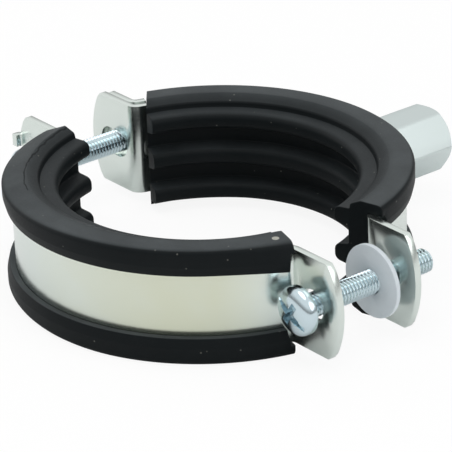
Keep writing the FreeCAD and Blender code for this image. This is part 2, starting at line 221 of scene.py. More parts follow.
TINT_REACH = (25.0, -8.0)
TINT_DEPTH = (-24.0, -13.0)
STEEL_LILAC = "#DAD6E0"
LILAC_REACH = (-20.0, -34.0)
LILAC_DEPTH = (-11.5, -16.0)
LILAC_SHARE = 0.7
DRIP_BLUE = "#B9CEDC"
DRIP_SIZE = (2.4, 9.0)
DRIP_NOISE = (0.56, 0.70)
DRIP_SHARE = 0.6
STEEL_ROUGHNESS = (0.20, 0.27)
ROLLING_STREAK = 0.25
STREAKS_AROUND = 1.5
STREAK_NOISE = (0.3, 0.7)
STREAK_BUMP = (0.05, 0.01)
ZINC_CLOUD = 9.0
CLOUD_GAIN = 0.8
CLOUD_OFFSET = -0.4


def arc(centre, radius, start, end, steps):
    """Points along an arc in a plane, angles in degrees."""
    points = []
    for step in range(steps + 1):
        angle = math.radians(start + (end - start) * step / steps)
        points.append((centre[0] + radius * math.cos(angle), centre[1] + radius * math.sin(angle)))
    return points


def solid(name, outlines):
    """Closed solid through rings of points in mm, each with as many points; a ring of one point is a tip."""
    mesh = bpy.data.meshes.new(name)
    build = bmesh.new()
    rings = [[build.verts.new(Vector(point) * MM) for point in outline] for outline in outlines]
    for first, second in zip(rings, rings[1:]):
        count = max(len(first), len(second))
        for number in range(count):
            after = (number + 1) % count
            if len(first) == 1:
                build.faces.new((first[0], second[after], second[number]))
            elif len(second) == 1:
                build.faces.new((first[number], first[after], second[0]))
            else:
                build.faces.new((first[number], first[after], second[after], second[number]))
    for ring in (rings[0], rings[-1]):
        if len(ring) > 1:
            build.faces.new(ring)
    bmesh.ops.recalc_face_normals(build, faces=build.faces)
    build.to_mesh(mesh)
    build.free()
    return link(bpy.data.objects.new(name, mesh))


def prism(name, outline, low, high, place):
    """Solid between two copies of an outline: place turns (u, v, height) to a point."""
    return solid(name, [[place(u, v, level) for u, v in outline] for level in (low, high)])


def upright(u, v, level):
    """Outline in XY, height along Z."""
    return u, v, level


def across(u, v, level):
    """Outline in XZ, height along Y."""
    return u, level, v


def combine(piece, other, operation):
    """Boolean of two solids; the other one is used up."""
    change = piece.modifiers.new("combine", "BOOLEAN")
    change.object = other
    change.operation = operation
    change.solver = "EXACT"
    settle(piece)
    bpy.data.objects.remove(other)


def settle(piece):
    """Applies a piece's modifiers to its mesh."""
    graph = bpy.context.evaluated_depsgraph_get()
    settled = bpy.data.meshes.new_from_object(piece.evaluated_get(graph))
    piece.modifiers.clear()
    piece.data = settled


def round_edges(piece, width, steps=2):
    """Rounds the edges sharper than SHARP_ANGLE and shades the rest smooth."""
    change = piece.modifiers.new("rounding", "BEVEL")
    change.width = width * MM
    change.segments = steps
    change.limit_method = "ANGLE"
    change.angle_limit = math.radians(SHARP_ANGLE)
    change.use_clamp_overlap = True
    settle(piece)
    shade(piece)


def shade(piece):
    """Smooth shading with creases at edges sharper than SHARP_ANGLE."""
    build = bmesh.new()
    build.from_mesh(piece.data)
    for face in build.faces:
        face.smooth = True
    for edge in build.edges:
        edge.smooth = len(edge.link_faces) == 2 and edge.calc_face_angle(0) < math.radians(SHARP_ANGLE)
    build.to_mesh(piece.data)
    build.free()


def dress(piece, material, body, node):
    """Gives a piece its material and its place in the frame."""
    piece.data.materials.clear()
    piece.data.materials.append(material)
    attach(piece, body)
    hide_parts(node)


def bend_outline(ring_radius, ear_level, inside_radius, thickness, end_angle=None):
    """Points of both faces of a bent strip from the right tip to the crown or to end_angle."""
    centre_y = ear_level + inside_radius
    centre_x = math.sqrt((ring_radius + inside_radius) ** 2 - centre_y ** 2)
    to_ring = math.degrees(math.atan2(centre_y, centre_x))
    stop = 90 if end_angle is None else end_angle
    steps = RING_STEPS // 2 if end_angle is None else BEND_STEPS
    faces = []
    for radius, ring in ((inside_radius, ring_radius), (inside_radius + thickness, ring_radius - thickness)):
        points = [(EAR_TIP_X, centre_y - radius)]
        points += arc((centre_x, centre_y), radius, 270, 180 + to_ring, BEND_STEPS)
        points += arc((0, 0), ring, to_ring, stop, steps)[1:]
        faces.append(points)
    return faces


def left(points):
    """The same points on the left side, in reverse order."""
    return [(-x, y) for x, y in reversed(points)]


def ear_outline(set_back=0.0):
    """Outline of the strip seen from the front: straight edges and arched ear tips with rounded corners."""
    half = STRIP_WIDTH / 2
    corner = EAR_CORNER_X - set_back
    bulge = EAR_TIP_X - EAR_CORNER_X
    radius = (half ** 2 + bulge ** 2) / (2 * bulge)
    spread = math.degrees(math.asin((half - EAR_CORNER_ROUNDING * EAR_TIP_INSET) / radius))
    tip = arc((corner + bulge - radius, 0), radius, -spread, spread, BEND_STEPS * 2)
    shoulder = arc((corner - EAR_CORNER_ROUNDING, half - EAR_CORNER_ROUNDING), EAR_CORNER_ROUNDING,
                   EAR_SHOULDER_ANGLE, 90, EAR_SHOULDER_STEPS)
    right = [(x, -y) for x, y in reversed(shoulder)] + tip[1:-1] + shoulder
    return right + left(right)


def cylinder(name, radius, low, high, x, steps=ROUND_STEPS):
    """Round solid along Y at height 0."""
    return prism(name, arc((x, 0), radius, 0, 360, steps)[:-1], low, high, across)


def round_slot(name, length, width, low, high, x):
    """Round-ended slot along X."""
    reach = (length - width) / 2
    outline = arc((x + reach, 0), width / 2, -90, 90, ROUND_STEPS // 2)
    outline += arc((x - reach, 0), width / 2, 90, 270, ROUND_STEPS // 2)
    return prism(name, outline, low, high, across)


def oval_prism(name, width, height, low, high, angle):
    """Upright oval along the radius at an angle round the pipe."""
    straight = (height - width) / 2
    outline = arc((0, straight), width / 2, 0, 180, ROUND_STEPS // 2)
    outline += arc((0, -straight), width / 2, 180, 360, ROUND_STEPS // 2)
    turn = math.radians(angle)

    def radial(u, v, level):
        return (level * math.cos(turn) - u * math.sin(turn), level * math.sin(turn) + u * math.cos(turn), v)

    return prism(name, outline, low, high, radial)


def bent_strip(name):
    """Half ring with two ears, without holes."""
    outer, inner = bend_outline(BAND_OUTER_RADIUS, EAR_BACK, EAR_BEND_RADIUS, STRIP_THICKNESS)
    outline = outer + left(outer)[1:] + [(x, y) for x, y in reversed(inner + left(inner)[1:])]
    strip = prism(name, outline, -STRIP_WIDTH / 2, STRIP_WIDTH / 2, upright)
    combine(strip, prism("ear_trim", ear_outline(), 0, BAND_OUTER_RADIUS + EAR_TRIM_MARGIN, across),
            "INTERSECT")
    return strip


def zinc_strip():
    """Bright zinc on cold-rolled strip: a pale mirror broken by fine rolling lines along the strip. The
    passivation left it straw coloured at the front, clouded, and lilac with blue drip marks at the left."""
    material, tree = new_material("zinc_plated_strip")
    place = add_node(tree, "ShaderNodeTexCoord")
    parts = add_node(tree, "ShaderNodeSeparateXYZ", inputs={0: place.outputs["Object"]})
    turn = add_node(tree, "ShaderNodeMath", {"operation": "ARCTAN2"}, {
        0: parts.outputs["Y"], 1: parts.outputs["X"]})
    along = add_node(tree, "ShaderNodeCombineXYZ", inputs={"X": turn.outputs[0], "Z": parts.outputs["Z"]})
    stretched = add_node(tree, "ShaderNodeMapping", inputs={
        "Vector": along.outputs[0], "Scale": (STREAKS_AROUND, 1.0, 1 / (ROLLING_STREAK * MM))})
    streaks = add_node(tree, "ShaderNodeTexNoise", inputs={
        "Vector": stretched.outputs[0], "Scale": 1.0, "Detail": 4.0, "Roughness": 0.6})
    clouds = add_node(tree, "ShaderNodeTexNoise", inputs={
        "Vector": place.outputs["Object"], "Scale": 1 / (ZINC_CLOUD * MM), "Detail": 3.0})
    to_left = add_node(tree, "ShaderNodeMapRange", inputs={
        "Value": parts.outputs["X"], "From Min": TINT_REACH[0] * MM, "From Max": TINT_REACH[1] * MM})
    to_back = add_node(tree, "ShaderNodeMapRange", inputs={
        "Value": parts.outputs["Y"], "From Min": TINT_DEPTH[0] * MM, "From Max": TINT_DEPTH[1] * MM})
    bath = add_node(tree, "ShaderNodeMath", {"operation": "MAXIMUM"}, {
        0: to_left.outputs[0], 1: to_back.outputs[0]})
    tint = add_node(tree, "ShaderNodeMath", {"operation": "MULTIPLY_ADD", "use_clamp": True}, {
        0: clouds.outputs[0], 1: CLOUD_GAIN, 2: CLOUD_OFFSET})
    tint = add_node(tree, "ShaderNodeMath", {"operation": "ADD", "use_clamp": True}, {
        0: tint.outputs[0], 1: bath.outputs[0]})
    colour = add_node(tree, "ShaderNodeMix", {"data_type": "RGBA"}, {
        0: tint.outputs[0], 6: linear(STEEL_STRAW), 7: linear(STEEL_NEUTRAL)})
    far_left = add_node(tree, "ShaderNodeMapRange", inputs={
        "Value": parts.outputs["X"], "From Min": LILAC_REACH[0] * MM, "From Max": LILAC_REACH[1] * MM,
        "To Max": LILAC_SHARE})
    on_ring = add_node(tree, "ShaderNodeMapRange", inputs={
        "Value": parts.outputs["Y"], "From Min": LILAC_DEPTH[0] * MM, "From Max": LILAC_DEPTH[1] * MM})
    far_left = add_node(tree, "ShaderNodeMath", {"operation": "MULTIPLY"}, {
        0: far_left.outputs[0], 1: on_ring.outputs[0]})
    colour = add_node(tree, "ShaderNodeMix", {"data_type": "RGBA"}, {
        0: far_left.outputs[0], 6: colour.outputs[2], 7: linear(STEEL_LILAC)})
    drips_across = 1 / DRIP_SIZE[0] / MM
    drips = add_node(tree, "ShaderNodeMapping", inputs={
        "Vector": place.outputs["Object"], "Scale": (drips_across, drips_across, 1 / DRIP_SIZE[1] / MM)})
    drips = add_node(tree, "ShaderNodeTexNoise", inputs={
        "Vector": drips.outputs[0], "Scale": 1.0, "Detail": 2.0})
    drips = add_node(tree, "ShaderNodeMapRange", {"interpolation_type": "SMOOTHSTEP"}, {
        "Value": drips.outputs[0], "From Min": DRIP_NOISE[0], "From Max": DRIP_NOISE[1], "To Max": DRIP_SHARE})
    drips = add_node(tree, "ShaderNodeMath", {"operation": "MULTIPLY"}, {
        0: drips.outputs[0], 1: far_left.outputs[0]})
    colour = add_node(tree, "ShaderNodeMix", {"data_type": "RGBA"}, {
        0: drips.outputs[0], 6: colour.outputs[2], 7: linear(DRIP_BLUE)})
    roughness = add_node(tree, "ShaderNodeMapRange", inputs={
        "Value": streaks.outputs[0], "From Min": STREAK_NOISE[0], "From Max": STREAK_NOISE[1],
        "To Min": STEEL_ROUGHNESS[0], "To Max": STEEL_ROUGHNESS[1]})
    bump = add_node(tree, "ShaderNodeBump", inputs={
        "Height": streaks.outputs[0], "Strength": STREAK_BUMP[0], "Distance": STREAK_BUMP[1] * MM})
    surface = add_node(tree, "ShaderNodeBsdfPrincipled", inputs={
        "Base Color": colour.outputs[2], "Metallic": 1.0, "Roughness": roughness.outputs[0],
        "Normal": bump.outputs[0]})
    add_node(tree, "ShaderNodeOutputMaterial", inputs={"Surface": surface.outputs[0]})
    return material


strip_finish = zinc_strip()
band_back = bent_strip("back_band")
combine(band_back, cylinder("collar", COLLAR_RADIUS, EAR_BACK - COLLAR_ROOT, EAR_BACK + COLLAR_HEIGHT,
                            SCREW_X), "UNION")
combine(band_back, cylinder("tap_drill", TAPPED_RADIUS, 0, EAR_CUT_DEPTH, SCREW_X), "DIFFERENCE")
combine(band_back, round_slot("wide_slot", *WIDE_SLOT, 0, EAR_CUT_DEPTH, -SCREW_X), "DIFFERENCE")
combine(band_back, oval_prism("clinch_hole", *CLINCH_SIZE, *CLINCH_CUT, CLINCH_ANGLE), "DIFFERENCE")
round_edges(band_back, STRIP_EDGE_ROUNDING)
dress(band_back, strip_finish, "back_half", "band_back")


# Thread plate
# Second leaf of the same zinc-plated strip behind the left back ear, tapped for the screw. Its short leg
# follows the band and is clinched to it by an oval stud pressed through the band.
PLATE_BEND_RADIUS = 1.0
PLATE_LEG_GAP = 1.0
PLATE_TIP_SET_BACK = 1.0
PLATE_END_ANGLE = 19.48
PLATE_TONGUE = (9.6, 25.1)
PLATE_TRIM_DEPTH = 30.0
TONGUE_OVERLAP = 0.3
CLINCH_RECESS = 0.6
CLINCH_CLEARANCE = 0.05
STUD_SET_IN = 0.7

plate_back = EAR_BACK + STRIP_THICKNESS
plate_radius = BAND_OUTER_RADIUS + PLATE_LEG_GAP + STRIP_THICKNESS
plate_outer, plate_inner = bend_outline(plate_radius, plate_back, PLATE_BEND_RADIUS, STRIP_THICKNESS,
                                        PLATE_END_ANGLE)
thread_plate = prism("thread_plate_leaf", left(plate_outer + plate_inner[::-1]),
                     -STRIP_WIDTH / 2, STRIP_WIDTH / 2, upright)
combine(thread_plate, prism("plate_trim", ear_outline(PLATE_TIP_SET_BACK), 0, PLATE_TRIM_DEPTH, across),
        "INTERSECT")
tongue_start = PLATE_END_ANGLE - TONGUE_OVERLAP
tongue_inner = arc((0, 0), plate_radius - STRIP_THICKNESS, tongue_start, PLATE_TONGUE[1], BEND_STEPS)
tongue_outer = arc((0, 0), plate_radius, tongue_start, PLATE_TONGUE[1], BEND_STEPS)
tongue = prism("plate_tongue", left(tongue_inner + tongue_outer[::-1]),
               -PLATE_TONGUE[0] / 2, PLATE_TONGUE[0] / 2, upright)
combine(thread_plate, tongue, "UNION")
combine(thread_plate, oval_prism("clinch_stud", CLINCH_SIZE[0] - 2 * CLINCH_CLEARANCE,
                                 CLINCH_SIZE[1] - 2 * CLINCH_CLEARANCE,
                                 BAND_OUTER_RADIUS - STRIP_THICKNESS + CLINCH_RECESS,
                                 plate_radius - STUD_SET_IN, CLINCH_ANGLE), "UNION")
combine(thread_plate, cylinder("plate_collar", COLLAR_RADIUS, plate_back - COLLAR_ROOT,
                               plate_back + COLLAR_HEIGHT, -SCREW_X), "UNION")
combine(thread_plate, cylinder("plate_tap_drill", TAPPED_RADIUS, 0, EAR_CUT_DEPTH, -SCREW_X), "DIFFERENCE")
round_edges(thread_plate, STRIP_EDGE_ROUNDING)
dress(thread_plate, strip_finish, "back_half", "thread_plate")


# Connection boss
# Hexagonal connection nut, 13 mm across flats, cold formed and chamfered at its mouth, resistance welded
# to the band and zinc-plated. It is tapped M10 at the mouth and M8 deeper down.
BOSS_ACROSS_FLATS = 13.0
BOSS_END = 61.0
BOSS_BLANK = (30.0, BOSS_END + 2.0)
BOSS_EDGE_ROUNDING = 0.3
BOSS_EDGE_STEPS = 3
BOSS_CHAMFER = 1.4
BOSS_END_RADIUS = 5.8
TURNING_START = 20.0
TURNING_MARGIN = 0.5
TURNING_RAMP = 0.3
SEAT_CUT_HEIGHT = 12.0
MOUTH_MINOR_RADIUS = 4.25
MOUTH_MAJOR_RADIUS = 5.0
MOUTH_PITCH = 1.5
MOUTH_DEPTH = 9.0
MOUTH_CHAMFER = 0.7
INNER_MINOR_RADIUS = 3.4
INNER_DEPTH = 8.0
BORE_OVERRUN = 1.0
TAP_UNDERCUT = 0.05
TAP_CREST_CUT = 0.1
TAP_START = 0.5
TAP_OVERRUN = 0.8
THREAD_ROOT = 0.12
THREAD_FLANK = 0.70
BOSS_ZINC = "#CBD5D4"
BOSS_ROUGHNESS = (0.30, 0.42)
BOSS_GRAIN = 0.8
BOSS_BUMP = (0.15, 0.03)


def thread_rod(name, minor, major, pitch, low, high, x=0.0, around=48, rows_per_turn=12, runout=0.0):
    """Closed rod along Y with a helical 60 degree thread; its crests fade out over the runout at each end."""
    rows = int((high - low) / pitch * rows_per_turn)
    rings = []
    for row in range(rows + 1):
        level = low + (high - low) * row / rows
        fade = 1.0
        if runout > 0:
            fade = min(1.0, (level - low) / runout, (high - level) / runout)
        ring = []
        for step in range(around):
            angle = 2 * math.pi * step / around
            phase = (level / pitch - step / around) % 1.0
            ramp = 1 - abs(2 * phase - 1)
            lift = min(1.0, max(0.0, (ramp - THREAD_ROOT) / THREAD_FLANK))
            radius = minor + (major - minor) * lift * fade
            ring.append((x + radius * math.sin(angle), level, radius * math.cos(angle)))
        rings.append(ring)
    return solid(name, rings)


def turned(name, outline, x=0.0, steps=96):
    """Solid turned about the Y direction from (radius, y) points that start and end on the axis."""
    rings = []
    for radius, level in outline:
        angles = [2 * math.pi * step / steps for step in range(steps if radius > 0 else 1)]
        rings.append([(x + radius * math.sin(angle), level, radius * math.cos(angle)) for angle in angles])
    return solid(name, rings)


def zinc_boss():
    """Zinc on a cold-formed nut: a satin, faintly blue-green grey without rolling lines."""
    material, tree = new_material("zinc_plated_nut")
    place = add_node(tree, "ShaderNodeTexCoord")
    grain = add_node(tree, "ShaderNodeTexNoise", inputs={
        "Vector": place.outputs["Object"], "Scale": 1 / (BOSS_GRAIN * MM), "Detail": 3.0})
    roughness = add_node(tree, "ShaderNodeMapRange", inputs={
        "Value": grain.outputs[0], "To Min": BOSS_ROUGHNESS[0], "To Max": BOSS_ROUGHNESS[1]})
    bump = add_node(tree, "ShaderNodeBump", inputs={
        "Height": grain.outputs[0], "Strength": BOSS_BUMP[0], "Distance": BOSS_BUMP[1] * MM})
    surface = add_node(tree, "ShaderNodeBsdfPrincipled", inputs={
        "Base Color": linear(BOSS_ZINC), "Metallic": 1.0, "Roughness": roughness.outputs[0],
        "Normal": bump.outputs[0]})
    add_node(tree, "ShaderNodeOutputMaterial", inputs={"Surface": surface.outputs[0]})
    return material


boss_corner = BOSS_ACROSS_FLATS / 2 / math.cos(math.pi / 6)
connection_boss = prism("boss_hexagon", arc((0, 0), boss_corner, 0, 360, 6)[:-1], *BOSS_BLANK, across)
round_edges(connection_boss, BOSS_EDGE_ROUNDING, BOSS_EDGE_STEPS)
turning_radius = boss_corner + TURNING_MARGIN
chamfer_start = BOSS_END - BOSS_CHAMFER
combine(connection_boss, turned("boss_chamfer", [
    (0, TURNING_START), (turning_radius, TURNING_START), (turning_radius, chamfer_start - TURNING_RAMP),
    (boss_corner, chamfer_start), (BOSS_END_RADIUS, BOSS_END), (0, BOSS_END)]), "INTERSECT")
seat_outline = arc((0, 0), BAND_OUTER_RADIUS, 0, 360, 2 * RING_STEPS)[:-1]
combine(connection_boss, prism("boss_seat", seat_outline, -SEAT_CUT_HEIGHT, SEAT_CUT_HEIGHT, upright),
        "DIFFERENCE")
mouth_step = BOSS_END - MOUTH_DEPTH
bore_end = mouth_step - INNER_DEPTH
mouth_radius = MOUTH_MINOR_RADIUS + MOUTH_CHAMFER
combine(connection_boss, turned("boss_bore", [
    (0, bore_end), (INNER_MINOR_RADIUS, bore_end), (INNER_MINOR_RADIUS, mouth_step),
    (MOUTH_MINOR_RADIUS, mouth_step), (MOUTH_MINOR_RADIUS, BOSS_END - MOUTH_CHAMFER), (mouth_radius, BOSS_END),
    (mouth_radius, BOSS_END + BORE_OVERRUN), (0, BOSS_END + BORE_OVERRUN)]), "DIFFERENCE")
combine(connection_boss, thread_rod("boss_tap", MOUTH_MINOR_RADIUS - TAP_UNDERCUT,
                                    MOUTH_MAJOR_RADIUS - TAP_CREST_CUT, MOUTH_PITCH,
                                    mouth_step + TAP_START, BOSS_END + TAP_OVERRUN), "DIFFERENCE")
shade(connection_boss)
dress(connection_boss, zinc_boss(), "back_half", "connection_boss")


# Front half band
# The same zinc-plated strip. Its right ear has a plain screw hole, and its left ear an open slot whose
# mouth has bent corners, so that this side swings off the loosened screw.
SCREW_HOLE_RADIUS = 3.3
OPEN_SLOT_WIDTH = 5.6
LIP_WIDTH = 2.6
LIP_BEND_RADIUS = 0.5
LIP_LENGTH = 0.6
LIP_SET_BACK = 1.3
LIP_ROOT = 0.2
LIP_BEND_STEPS = (6, 10)
SLOT_REACH = 60.0


def mirror_to_front(piece):
    """Mirrors a piece's mesh from the back half to the front half."""
    piece.data.transform(Matrix.Scale(-1, 4, Vector((0, 1, 0))))
    piece.data.flip_normals()


band_front = bent_strip("front_band")
combine(band_front, cylinder("screw_hole", SCREW_HOLE_RADIUS, 0, EAR_CUT_DEPTH, SCREW_X), "DIFFERENCE")
mouth_x = EAR_TIP_X - LIP_SET_BACK
mouth_half = OPEN_SLOT_WIDTH / 2 + LIP_WIDTH
mouth_outline = [(-SLOT_REACH, -mouth_half), (-mouth_x, -mouth_half), (-mouth_x, mouth_half),
                 (-SLOT_REACH, mouth_half)]
combine(band_front, prism("slot_mouth", mouth_outline, 0, EAR_CUT_DEPTH, across), "DIFFERENCE")
slot_outline = [(-SLOT_REACH, -OPEN_SLOT_WIDTH / 2)]
slot_outline += arc((-SCREW_X, 0), OPEN_SLOT_WIDTH / 2, -90, 90, ROUND_STEPS // 2)
slot_outline += [(-SLOT_REACH, OPEN_SLOT_WIDTH / 2)]
combine(band_front, prism("open_slot", slot_outline, 0, EAR_CUT_DEPTH, across), "DIFFERENCE")
lip_centre = (mouth_x, EAR_BACK + LIP_BEND_RADIUS)
lip_end = lip_centre[1] + LIP_LENGTH
lip_inner_x = mouth_x + LIP_BEND_RADIUS
lip_outline = [(mouth_x - LIP_ROOT, lip_centre[1] - LIP_BEND_RADIUS)]
lip_outline += arc(lip_centre, LIP_BEND_RADIUS, -90, 0, LIP_BEND_STEPS[0])
lip_outline += [(lip_inner_x, lip_end), (lip_inner_x + STRIP_THICKNESS, lip_end)]
lip_outline += arc(lip_centre, LIP_BEND_RADIUS + STRIP_THICKNESS, 0, -90, LIP_BEND_STEPS[1])
lip_outline += [(mouth_x - LIP_ROOT, lip_centre[1] - LIP_BEND_RADIUS - STRIP_THICKNESS)]
for lip_low in (OPEN_SLOT_WIDTH / 2, -OPEN_SLOT_WIDTH / 2 - LIP_WIDTH):
    combine(band_front, prism("slot_lip", left(lip_outline), lip_low, lip_low + LIP_WIDTH, upright), "UNION")
mirror_to_front(band_front)
round_edges(band_front, STRIP_EDGE_ROUNDING)
dress(band_front, strip_finish, "front_half", "band_front")


# Rubber linings
# Extruded black rubber profile cut to length and pushed over the strip before bending: three ribs inside,
# a rim at each edge and a lip that folds over the strip's outer face. The bend makes the rims sag a little
# at the front left, and the upper lip stands off the strip at the front right.
PIPE_RADIUS = 30.3
RIB_HEIGHT = 3.3
RIB_PITCH = 8.17
RIB_TIP_WIDTH = 3.3
RIB_ROOT_WIDTH = 4.6
RIB_TIP_ROUNDING = 1.45
RIB_ROOT_ROUNDING = 0.5
CHANNEL_CLEARANCE = 0.05
LIP_OUTER_RADIUS = 41.6
LIP_EDGE_RADIUS = 41.1
LIP_ROUNDING = 0.3
LIP_EDGE_HEIGHT = 6.6
LIP_TAPER_HEIGHT = 8.6
LIP_TAPER_ROUNDING = 1.0
RIM_TOP_HEIGHT = 12.25
RIM_OUTER_HEIGHT = 12.2
RIM_ROUNDING = 1.2
RIM_INNER_ROUNDING = 0.8
RIM_INNER_RADIUS = 36.5
RIM_SHOULDER = (34.1, 11.1)
RIM_FOOT = (33.9, 10.0)
LINING_END_ANGLE = 15.684
BEND_ANGLE = 16.581
LIP_END = 0.3
BACK_SLANT = 1.9
FRONT_SLANT = 0.5
CUT_BACK = ((33.6, 15.684), (40.8, 19.9))
LINING_STEPS = 160
LINING_EDGE_ROUNDING = 0.12
END_ROUNDING = 0.22
END_STEPS = 4
RIM_SAG = 2.2
SAG_ANGLE = 100
LIP_BULGE = 2.7
BULGE_ANGLE = 22
LIP_MARGIN = 1.0
RIM_MARGIN = 0.2
LIP_CUT_DEPTH = 20.0
LIP_CUT_MARGIN = 5.0
CUT_BACK_MARGIN = 1.0
CORNER_STEPS = 6
RUBBER_BLACK = "#0B1113"
RUBBER_WORN = "#14181A"
# Up-facing rubber is greyed partly by dust and partly by a painted top light; inside the ring this grey is
# held down as painted shade.
RUBBER_DUST_AND_TOP_LIGHT = "#474C4E"
DUST_AND_TOP_LIGHT_SLOPE = (0.68, 0.99)
INNER_SHADE_RADII = (34.5, 38.0)
DUST_AND_TOP_LIGHT_INSIDE = 0.35
DUST_PALE = "#A9A9A0"
RUBBER_ROUGHNESS = (0.42, 0.62)
RUBBER_BUMP = (0.25, 0.06)
RUBBER_IOR = 1.46
RUBBER_SPECULAR = 0.14
EXTRUSION_LINE = 0.5
LINES_AROUND = 2.0
LINE_SHARE = 0.6
RUBBER_GRAIN = 0.35
BLOOM_SIZE = 11.0
BLOOM_NOISE = (0.42, 0.75)
BLOOM_SHARE = 0.45
FILM_NOISE = (0.3, 0.7)
FILM_FLOOR = 0.6
# Place of the painted shade line that stands for a fine crack along the front left rim.
GROOVE_ANGLES = (-150.0, -112.0)
GROOVE_RADII = (35.4, 36.6)
GROOVE_WIDTH = 0.3
GROOVE_HEIGHT = 11.0
GROOVE_WAVE_SIZE = 3.0
GROOVE_WAVE_DEPTH = 1.2
CHIP_PLACE = (36.9, -12.9, 12.2)
CHIP_RADIUS = 0.72
DUST_SPACING = 3.2
SPECK_RADII = (0.07, 0.02)
SPECK_SHARE = 0.3


def rounded(corners):
    """Outline from corners (u, v, rounding), each rounded by an arc."""
    points = []
    for number, (u, v, rounding) in enumerate(corners):
        corner = Vector((u, v))
        if rounding == 0:
            points.append((u, v))
            continue
        before = (Vector(corners[number - 1][:2]) - corner).normalized()
        after = (Vector(corners[(number + 1) % len(corners)][:2]) - corner).normalized()
        half = before.angle(after) / 2
        centre = corner + (before + after).normalized() * rounding / math.sin(half)
        start = corner + before * rounding / math.tan(half) - centre
        end = corner + after * rounding / math.tan(half) - centre
        for step in range(CORNER_STEPS + 1):
            point = centre + start.slerp(end, step / CORNER_STEPS).normalized() * start.length
            points.append((point.x, point.y))
    return points


def rib(level):
    """Corners of one rib from its upper root to its lower root."""
    wall = PIPE_RADIUS + RIB_HEIGHT
    return [(wall, level + RIB_ROOT_WIDTH / 2, RIB_ROOT_ROUNDING),
            (PIPE_RADIUS, level + RIB_TIP_WIDTH / 2, RIB_TIP_ROUNDING),
            (PIPE_RADIUS, level - RIB_TIP_WIDTH / 2, RIB_TIP_ROUNDING),
            (wall, level - RIB_ROOT_WIDTH / 2, RIB_ROOT_ROUNDING)]


def lining_section():
    """Rubber profile as (radius, height) points."""
    floor_radius = BAND_OUTER_RADIUS - STRIP_THICKNESS - CHANNEL_CLEARANCE
    channel = STRIP_WIDTH / 2 + CHANNEL_CLEARANCE
    lip_inner = BAND_OUTER_RADIUS + CHANNEL_CLEARANCE
    upper = [(floor_radius, channel, 0), (lip_inner, channel, 0), (lip_inner, LIP_EDGE_HEIGHT, 0),
             (LIP_EDGE_RADIUS, LIP_EDGE_HEIGHT, LIP_ROUNDING),
             (LIP_OUTER_RADIUS, LIP_TAPER_HEIGHT, LIP_TAPER_ROUNDING),
             (LIP_OUTER_RADIUS, RIM_OUTER_HEIGHT, RIM_ROUNDING),
             (RIM_INNER_RADIUS, RIM_TOP_HEIGHT, RIM_INNER_ROUNDING),
             (*RIM_SHOULDER, RIM_INNER_ROUNDING),
             (*RIM_FOOT, 0)] + rib(RIB_PITCH)[1:]
    lower = [(radius, -level, rounding) for radius, level, rounding in reversed(upper)]
    return rounded(upper + rib(0) + lower)


def inset(section, amount):
    """The profile drawn inwards, for the worn edges of its cut ends."""
    points = []
    for number, (r, z) in enumerate(section):
        before = section[number - 1]
        after = section[(number + 1) % len(section)]
        run = Vector((after[0] - before[0], after[1] - before[1])).normalized()
        points.append((r - run.y * amount, z + run.x * amount))
    return points


def lining(name, sag=0.0, bulge=0.0):
    """Lining of the back half with slightly rounded ends. Sag lets the rims fall outwards towards its left
    end, and bulge lifts the upper lip off the band at its right end."""
    section = lining_section()
    start = LINING_END_ANGLE
    end = 180 - LINING_END_ANGLE
    stations = [(start + (end - start) * step / LINING_STEPS, 0.0) for step in range(1, LINING_STEPS)]
    for step in range(END_STEPS + 1):
        turn = math.pi / 2 * step / END_STEPS
        reach = math.degrees(END_ROUNDING * (1 - math.sin(turn)) / BAND_OUTER_RADIUS)
        stations.append((end - reach, END_ROUNDING * (1 - math.cos(turn))))
        stations.append((start + reach, END_ROUNDING * (1 - math.cos(turn))))
    half_strip = STRIP_WIDTH / 2
    rings = []
    for station, drawn_in in sorted(stations):
        angle = math.radians(station)
        share = max(0.0, 1 - (end - station) / SAG_ANGLE)
        share = share * share * (3 - 2 * share)
        lift = bulge * max(0.0, 1 - (station - start) / BULGE_ANGLE) ** 2
        ring = []
        for r, z in inset(section, drawn_in):
            if r > BAND_OUTER_RADIUS and z > LIP_EDGE_HEIGHT - LIP_MARGIN:
                r += lift * max(0.0, RIM_TOP_HEIGHT - z) / (RIM_TOP_HEIGHT - LIP_EDGE_HEIGHT)
            drop = sag * share * max(0.0, r - RIM_INNER_RADIUS) / (LIP_OUTER_RADIUS - RIM_INNER_RADIUS)
            if abs(z) > half_strip + RIM_MARGIN:
                z -= math.copysign(drop * (abs(z) - half_strip) / (RIM_TOP_HEIGHT - half_strip), z)
            ring.append((r * math.cos(angle), r * math.sin(angle), z))
        rings.append(ring)
    return solid(name, rings)


def cut_lips(piece, slant, side):
    """Ends both lips before the bend of the right (1) or left (-1) ear, slanting back towards their edges."""
    channel = STRIP_WIDTH / 2 + CHANNEL_CLEARANCE
    turn = math.radians(BEND_ANGLE)
    outline = [(-LIP_CUT_DEPTH, -channel), (LIP_END, -channel), (LIP_END + slant, -LIP_EDGE_HEIGHT),
               (LIP_END + slant, LIP_EDGE_HEIGHT), (LIP_END, channel), (-LIP_CUT_DEPTH, channel)]

    def at_bend(u, v, level):
        return (side * (level * math.cos(turn) - u * math.sin(turn)),
                level * math.sin(turn) + u * math.cos(turn), v)

    combine(piece, prism("lip_end", outline, BAND_OUTER_RADIUS, LIP_OUTER_RADIUS + LIP_CUT_MARGIN, at_bend),
            "DIFFERENCE")


